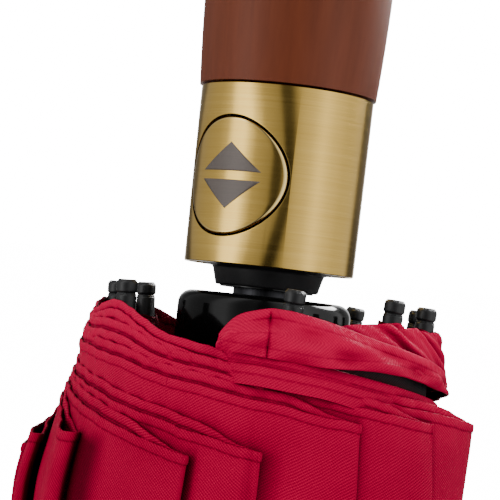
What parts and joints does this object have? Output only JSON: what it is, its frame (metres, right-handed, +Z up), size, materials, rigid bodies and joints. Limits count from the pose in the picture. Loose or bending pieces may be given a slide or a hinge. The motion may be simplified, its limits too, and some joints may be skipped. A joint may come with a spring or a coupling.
{
  "type": "folding umbrella",
  "caption": "Three-fold automatic umbrella, folded shut: turned wooden handle, brushed brass collar with a push button, telescopic shaft, jointed ribs and a red cloth canopy.",
  "frame": {"origin": "centre of the flat end face of the handle", "axes": "+Z up the shaft from the handle to the ferrule; the push button faces 36.6 degrees from -Y towards +X"},
  "size_m": [0.0666, 0.0688, 0.2916],
  "materials": {
    "handle_wood": "dark red-brown hardwood under gloss lacquer",
    "collar_brass": "brushed round the collar, clear lacquered",
    "button_brass": "brushed, with a polished edge",
    "handle_fixings": "plated steel",
    "core_plastic": "moulded, satin",
    "black_plastic": "moulded, semi-gloss",
    "tube_steel": "drawn tube, plated",
    "black_steel": "black electrophoretic coat",
    "spring_steel": "oiled wire",
    "rib_steel": "black coat, satin",
    "cord": "braided polyester",
    "canopy_fabric": "crimson polyester twill, water repellent",
    "strap_fabric": "the same twill, folded and stitched"
  },
  "bodies": {
    "handle": {"handle_grip": "handle_wood", "end_cap": "collar_brass", "handle_screw": "handle_fixings", "handle_core": "core_plastic", "collar": "collar_brass", "neck_bush": "black_plastic", "outer_tube": "black_steel", "button_spring": "spring_steel", "drive_spring": "spring_steel", "pull_cord": "cord"},
    "button": {"push_button": "button_brass"},
    "latch": {"latch_lever": "handle_fixings"},
    "middle_tube": {"middle_tube": "tube_steel", "cord_pulley": "core_plastic"},
    "inner_tube": {"inner_tube": "tube_steel", "crown": "core_plastic", "crown_ring": "spring_steel", "ferrule": "black_plastic"},
    "runner": {"runner": "core_plastic", "runner_cup": "black_plastic", "runner_ring": "spring_steel"},
    "top_rib_1": {"top_rib_1": "rib_steel"},
    "middle_rib_1": {"middle_rib_1": "rib_steel"},
    "tip_rib_1": {"tip_rib_1": "black_plastic", "tie_strap": "strap_fabric"},
    "strut_1": {"strut_1": "rib_steel"},
    "top_rib_2": {"top_rib_2": "rib_steel"},
    "middle_rib_2": {"middle_rib_2": "rib_steel"},
    "tip_rib_2": {"tip_rib_2": "black_plastic"},
    "strut_2": {"strut_2": "rib_steel"},
    "top_rib_3": {"top_rib_3": "rib_steel"},
    "middle_rib_3": {"middle_rib_3": "rib_steel"},
    "tip_rib_3": {"tip_rib_3": "black_plastic"},
    "strut_3": {"strut_3": "rib_steel"},
    "top_rib_4": {"top_rib_4": "rib_steel"},
    "middle_rib_4": {"middle_rib_4": "rib_steel"},
    "tip_rib_4": {"tip_rib_4": "black_plastic"},
    "strut_4": {"strut_4": "rib_steel"},
    "top_rib_5": {"top_rib_5": "rib_steel"},
    "middle_rib_5": {"middle_rib_5": "rib_steel"},
    "tip_rib_5": {"tip_rib_5": "black_plastic"},
    "strut_5": {"strut_5": "rib_steel"},
    "top_rib_6": {"top_rib_6": "rib_steel"},
    "middle_rib_6": {"middle_rib_6": "rib_steel"},
    "tip_rib_6": {"tip_rib_6": "black_plastic"},
    "strut_6": {"strut_6": "rib_steel"},
    "top_rib_7": {"top_rib_7": "rib_steel"},
    "middle_rib_7": {"middle_rib_7": "rib_steel"},
    "tip_rib_7": {"tip_rib_7": "black_plastic"},
    "strut_7": {"strut_7": "rib_steel"},
    "top_rib_8": {"top_rib_8": "rib_steel"},
    "middle_rib_8": {"middle_rib_8": "rib_steel"},
    "tip_rib_8": {"tip_rib_8": "black_plastic"},
    "strut_8": {"strut_8": "rib_steel"},
    "canopy_top_left": {"canopy_top_left": "canopy_fabric"},
    "canopy_top_right": {"canopy_top_right": "canopy_fabric"},
    "canopy_middle_left": {"canopy_middle_left": "canopy_fabric"},
    "canopy_middle_right": {"canopy_middle_right": "canopy_fabric"},
    "canopy_tip_left": {"canopy_tip_left": "canopy_fabric"},
    "canopy_tip_right": {"canopy_tip_right": "canopy_fabric"}
  },
  "joints": [
    {"name": "button_press", "type": "slide", "parent": "handle", "child": "button", "axis": [-0.5962, 0.8028, 0], "range_m": [0, 0.0025], "stiffness_N_per_m": 400, "springref_m": -0.002, "deforming": ["button_spring"]},
    {"name": "latch_tip", "type": "hinge", "parent": "handle", "child": "latch", "pos_m": [0.00554, -0.00747, 0.092], "axis": [0.8028, 0.5962, 0], "range_deg": [0, 19]},
    {"name": "shaft_extend", "type": "slide", "parent": "handle", "child": "middle_tube", "axis": [0, 0, 1], "range_m": [0, 0.15], "deforming": ["drive_spring", "pull_cord"]},
    {"name": "inner_tube_extend", "type": "slide", "parent": "middle_tube", "child": "inner_tube", "axis": [0, 0, 1], "range_m": [0, 0.15]},
    {"name": "runner_slide", "type": "slide", "parent": "inner_tube", "child": "runner", "axis": [0, 0, 1], "range_m": [0, 0.07392]},
    {"name": "canopy_open", "type": "hinge", "parent": "inner_tube", "child": "top_rib_1", "pos_m": [-0.00138, 0.00889, 0.272], "axis": [0.9882, 0.153, 0], "range_deg": [0, 78.97], "deforming": ["canopy_top_left", "canopy_top_right", "canopy_middle_left", "canopy_middle_right", "canopy_tip_left", "canopy_tip_right", "tie_strap"]},
    {"name": "middle_rib_1_hinge", "type": "hinge", "parent": "top_rib_1", "child": "middle_rib_1", "pos_m": [-0.0026, 0.0168, 0.121], "axis": [-0.9882, -0.153, 0], "range_deg": [0, 183.4]},
    {"name": "tip_rib_1_hinge", "type": "hinge", "parent": "middle_rib_1", "child": "tip_rib_1", "pos_m": [-0.00321, 0.02075, 0.266], "axis": [0.9882, 0.153, 0], "range_deg": [0, 164.37]},
    {"name": "strut_1_hinge", "type": "hinge", "parent": "runner", "child": "strut_1", "pos_m": [-0.00138, 0.00889, 0.12214], "axis": [-0.9882, -0.153, 0], "range_deg": [0, 39.3]},
    {"name": "top_rib_2_hinge", "type": "hinge", "parent": "inner_tube", "child": "top_rib_2", "pos_m": [-0.00726, 0.00532, 0.272], "axis": [0.5906, 0.807, 0], "range_deg": [0, 78.98]},
    {"name": "middle_rib_2_hinge", "type": "hinge", "parent": "top_rib_2", "child": "middle_rib_2", "pos_m": [-0.01372, 0.01004, 0.121], "axis": [-0.5906, -0.807, 0], "range_deg": [0, 183.4]},
    {"name": "tip_rib_2_hinge", "type": "hinge", "parent": "middle_rib_2", "child": "tip_rib_2", "pos_m": [-0.01695, 0.0124, 0.266], "axis": [0.5906, 0.807, 0], "range_deg": [0, 164.37]},
    {"name": "strut_2_hinge", "type": "hinge", "parent": "runner", "child": "strut_2", "pos_m": [-0.00726, 0.00532, 0.12214], "axis": [-0.5906, -0.807, 0], "range_deg": [0, 39.3]},
    {"name": "top_rib_3_hinge", "type": "hinge", "parent": "inner_tube", "child": "top_rib_3", "pos_m": [-0.00889, -0.00138, 0.272], "axis": [-0.153, 0.9882, 0], "range_deg": [0, 78.98]},
    {"name": "middle_rib_3_hinge", "type": "hinge", "parent": "top_rib_3", "child": "middle_rib_3", "pos_m": [-0.0168, -0.0026, 0.121], "axis": [0.153, -0.9882, 0], "range_deg": [0, 183.4]},
    {"name": "tip_rib_3_hinge", "type": "hinge", "parent": "middle_rib_3", "child": "tip_rib_3", "pos_m": [-0.02075, -0.00321, 0.266], "axis": [-0.153, 0.9882, 0], "range_deg": [0, 164.37]},
    {"name": "strut_3_hinge", "type": "hinge", "parent": "runner", "child": "strut_3", "pos_m": [-0.00889, -0.00138, 0.12214], "axis": [0.153, -0.9882, 0], "range_deg": [0, 39.3]},
    {"name": "top_rib_4_hinge", "type": "hinge", "parent": "inner_tube", "child": "top_rib_4", "pos_m": [-0.00532, -0.00726, 0.272], "axis": [-0.807, 0.5906, 0], "range_deg": [0, 78.98]},
    {"name": "middle_rib_4_hinge", "type": "hinge", "parent": "top_rib_4", "child": "middle_rib_4", "pos_m": [-0.01004, -0.01372, 0.121], "axis": [0.807, -0.5906, 0], "range_deg": [0, 183.4]},
    {"name": "tip_rib_4_hinge", "type": "hinge", "parent": "middle_rib_4", "child": "tip_rib_4", "pos_m": [-0.0124, -0.01695, 0.266], "axis": [-0.807, 0.5906, 0], "range_deg": [0, 164.37]},
    {"name": "strut_4_hinge", "type": "hinge", "parent": "runner", "child": "strut_4", "pos_m": [-0.00532, -0.00726, 0.12214], "axis": [0.807, -0.5906, 0], "range_deg": [0, 39.3]},
    {"name": "top_rib_5_hinge", "type": "hinge", "parent": "inner_tube", "child": "top_rib_5", "pos_m": [0.00138, -0.00889, 0.272], "axis": [-0.9882, -0.153, 0], "range_deg": [0, 78.98]},
    {"name": "middle_rib_5_hinge", "type": "hinge", "parent": "top_rib_5", "child": "middle_rib_5", "pos_m": [0.0026, -0.0168, 0.121], "axis": [0.9882, 0.153, 0], "range_deg": [0, 183.4]},
    {"name": "tip_rib_5_hinge", "type": "hinge", "parent": "middle_rib_5", "child": "tip_rib_5", "pos_m": [0.00321, -0.02075, 0.266], "axis": [-0.9882, -0.153, 0], "range_deg": [0, 164.37]},
    {"name": "strut_5_hinge", "type": "hinge", "parent": "runner", "child": "strut_5", "pos_m": [0.00138, -0.00889, 0.12214], "axis": [0.9882, 0.153, 0], "range_deg": [0, 39.3]},
    {"name": "top_rib_6_hinge", "type": "hinge", "parent": "inner_tube", "child": "top_rib_6", "pos_m": [0.00726, -0.00532, 0.272], "axis": [-0.5906, -0.807, 0], "range_deg": [0, 78.98]},
    {"name": "middle_rib_6_hinge", "type": "hinge", "parent": "top_rib_6", "child": "middle_rib_6", "pos_m": [0.01372, -0.01004, 0.121], "axis": [0.5906, 0.807, 0], "range_deg": [0, 183.4]},
    {"name": "tip_rib_6_hinge", "type": "hinge", "parent": "middle_rib_6", "child": "tip_rib_6", "pos_m": [0.01695, -0.0124, 0.266], "axis": [-0.5906, -0.807, 0], "range_deg": [0, 164.37]},
    {"name": "strut_6_hinge", "type": "hinge", "parent": "runner", "child": "strut_6", "pos_m": [0.00726, -0.00532, 0.12214], "axis": [0.5906, 0.807, 0], "range_deg": [0, 39.3]},
    {"name": "top_rib_7_hinge", "type": "hinge", "parent": "inner_tube", "child": "top_rib_7", "pos_m": [0.00889, 0.00138, 0.272], "axis": [0.153, -0.9882, 0], "range_deg": [0, 78.98]},
    {"name": "middle_rib_7_hinge", "type": "hinge", "parent": "top_rib_7", "child": "middle_rib_7", "pos_m": [0.0168, 0.0026, 0.121], "axis": [-0.153, 0.9882, 0], "range_deg": [0, 183.4]},
    {"name": "tip_rib_7_hinge", "type": "hinge", "parent": "middle_rib_7", "child": "tip_rib_7", "pos_m": [0.02075, 0.00321, 0.266], "axis": [0.153, -0.9882, 0], "range_deg": [0, 164.37]},
    {"name": "strut_7_hinge", "type": "hinge", "parent": "runner", "child": "strut_7", "pos_m": [0.00889, 0.00138, 0.12214], "axis": [-0.153, 0.9882, 0], "range_deg": [0, 39.3]},
    {"name": "top_rib_8_hinge", "type": "hinge", "parent": "inner_tube", "child": "top_rib_8", "pos_m": [0.00532, 0.00726, 0.272], "axis": [0.807, -0.5906, 0], "range_deg": [0, 78.98]},
    {"name": "middle_rib_8_hinge", "type": "hinge", "parent": "top_rib_8", "child": "middle_rib_8", "pos_m": [0.01004, 0.01372, 0.121], "axis": [-0.807, 0.5906, 0], "range_deg": [0, 183.4]},
    {"name": "tip_rib_8_hinge", "type": "hinge", "parent": "middle_rib_8", "child": "tip_rib_8", "pos_m": [0.0124, 0.01695, 0.266], "axis": [0.807, -0.5906, 0], "range_deg": [0, 164.37]},
    {"name": "strut_8_hinge", "type": "hinge", "parent": "runner", "child": "strut_8", "pos_m": [0.00532, 0.00726, 0.12214], "axis": [-0.807, 0.5906, 0], "range_deg": [0, 39.3]},
    {"name": "canopy_top_left_spread", "type": "hinge", "parent": "top_rib_1", "child": "canopy_top_left", "pos_m": [-0.00111, 0.00719, 0.28083], "axis": [-0.1502, 0.97, 0.1913], "range_deg": [0, 179.01]},
    {"name": "canopy_top_right_spread", "type": "hinge", "parent": "top_rib_1", "child": "canopy_top_right", "pos_m": [-0.00111, 0.00719, 0.28083], "axis": [0.1502, -0.97, -0.1913], "range_deg": [0, 179.01]},
    {"name": "canopy_middle_left_spread", "type": "hinge", "parent": "middle_rib_1", "child": "canopy_middle_left", "pos_m": [-0.00865, 0.05587, -0.03274], "axis": [0.1482, -0.9571, -0.249], "range_deg": [0, 179.01]},
    {"name": "canopy_middle_right_spread", "type": "hinge", "parent": "middle_rib_1", "child": "canopy_middle_right", "pos_m": [-0.00865, 0.05587, -0.03274], "axis": [-0.1482, 0.9571, 0.249], "range_deg": [0, 179.01]},
    {"name": "canopy_tip_left_spread", "type": "hinge", "parent": "tip_rib_1", "child": "canopy_tip_left", "pos_m": [0.01964, -0.12685, 0.52407], "axis": [-0.1324, 0.8553, 0.5009], "range_deg": [0, 179.01]},
    {"name": "canopy_tip_right_spread", "type": "hinge", "parent": "tip_rib_1", "child": "canopy_tip_right", "pos_m": [0.01964, -0.12685, 0.52407], "axis": [0.1324, -0.8553, -0.5009], "range_deg": [0, 179.01]}
  ],
  "couplings": [
    {"joint": "latch_tip", "follows": "button_press", "rad_per_m": 132.65},
    {"joint": "inner_tube_extend", "follows": "shaft_extend", "ratio": 1},
    {"joint": "middle_rib_1_hinge", "follows": "canopy_open", "ratio": 2.3223},
    {"joint": "tip_rib_1_hinge", "follows": "canopy_open", "ratio": 2.0813},
    {"joint": "strut_1_hinge", "follows": "canopy_open", "ratio": 0.49753},
    {"joint": "top_rib_2_hinge", "follows": "canopy_open", "ratio": 1},
    {"joint": "middle_rib_2_hinge", "follows": "canopy_open", "ratio": 2.3223},
    {"joint": "tip_rib_2_hinge", "follows": "canopy_open", "ratio": 2.0813},
    {"joint": "strut_2_hinge", "follows": "canopy_open", "ratio": 0.49753},
    {"joint": "top_rib_3_hinge", "follows": "canopy_open", "ratio": 1},
    {"joint": "middle_rib_3_hinge", "follows": "canopy_open", "ratio": 2.3223},
    {"joint": "tip_rib_3_hinge", "follows": "canopy_open", "ratio": 2.0813},
    {"joint": "strut_3_hinge", "follows": "canopy_open", "ratio": 0.49753},
    {"joint": "top_rib_4_hinge", "follows": "canopy_open", "ratio": 1},
    {"joint": "middle_rib_4_hinge", "follows": "canopy_open", "ratio": 2.3223},
    {"joint": "tip_rib_4_hinge", "follows": "canopy_open", "ratio": 2.0813},
    {"joint": "strut_4_hinge", "follows": "canopy_open", "ratio": 0.49753},
    {"joint": "top_rib_5_hinge", "follows": "canopy_open", "ratio": 1},
    {"joint": "middle_rib_5_hinge", "follows": "canopy_open", "ratio": 2.3223},
    {"joint": "tip_rib_5_hinge", "follows": "canopy_open", "ratio": 2.0813},
    {"joint": "strut_5_hinge", "follows": "canopy_open", "ratio": 0.49753},
    {"joint": "top_rib_6_hinge", "follows": "canopy_open", "ratio": 1},
    {"joint": "middle_rib_6_hinge", "follows": "canopy_open", "ratio": 2.3223},
    {"joint": "tip_rib_6_hinge", "follows": "canopy_open", "ratio": 2.0813},
    {"joint": "strut_6_hinge", "follows": "canopy_open", "ratio": 0.49753},
    {"joint": "top_rib_7_hinge", "follows": "canopy_open", "ratio": 1},
    {"joint": "middle_rib_7_hinge", "follows": "canopy_open", "ratio": 2.3223},
    {"joint": "tip_rib_7_hinge", "follows": "canopy_open", "ratio": 2.0813},
    {"joint": "strut_7_hinge", "follows": "canopy_open", "ratio": 0.49753},
    {"joint": "top_rib_8_hinge", "follows": "canopy_open", "ratio": 1},
    {"joint": "middle_rib_8_hinge", "follows": "canopy_open", "ratio": 2.3223},
    {"joint": "tip_rib_8_hinge", "follows": "canopy_open", "ratio": 2.0813},
    {"joint": "strut_8_hinge", "follows": "canopy_open", "ratio": 0.49753},
    {"joint": "runner_slide", "follows": "canopy_open", "m_per_rad": 0.053625},
    {"joint": "canopy_top_left_spread", "follows": "canopy_open", "ratio": 2.2667},
    {"joint": "canopy_top_right_spread", "follows": "canopy_open", "ratio": 2.2667},
    {"joint": "canopy_middle_left_spread", "follows": "canopy_open", "ratio": 2.2667},
    {"joint": "canopy_middle_right_spread", "follows": "canopy_open", "ratio": 2.2667},
    {"joint": "canopy_tip_left_spread", "follows": "canopy_open", "ratio": 2.2667},
    {"joint": "canopy_tip_right_spread", "follows": "canopy_open", "ratio": 2.2667}
  ]
}
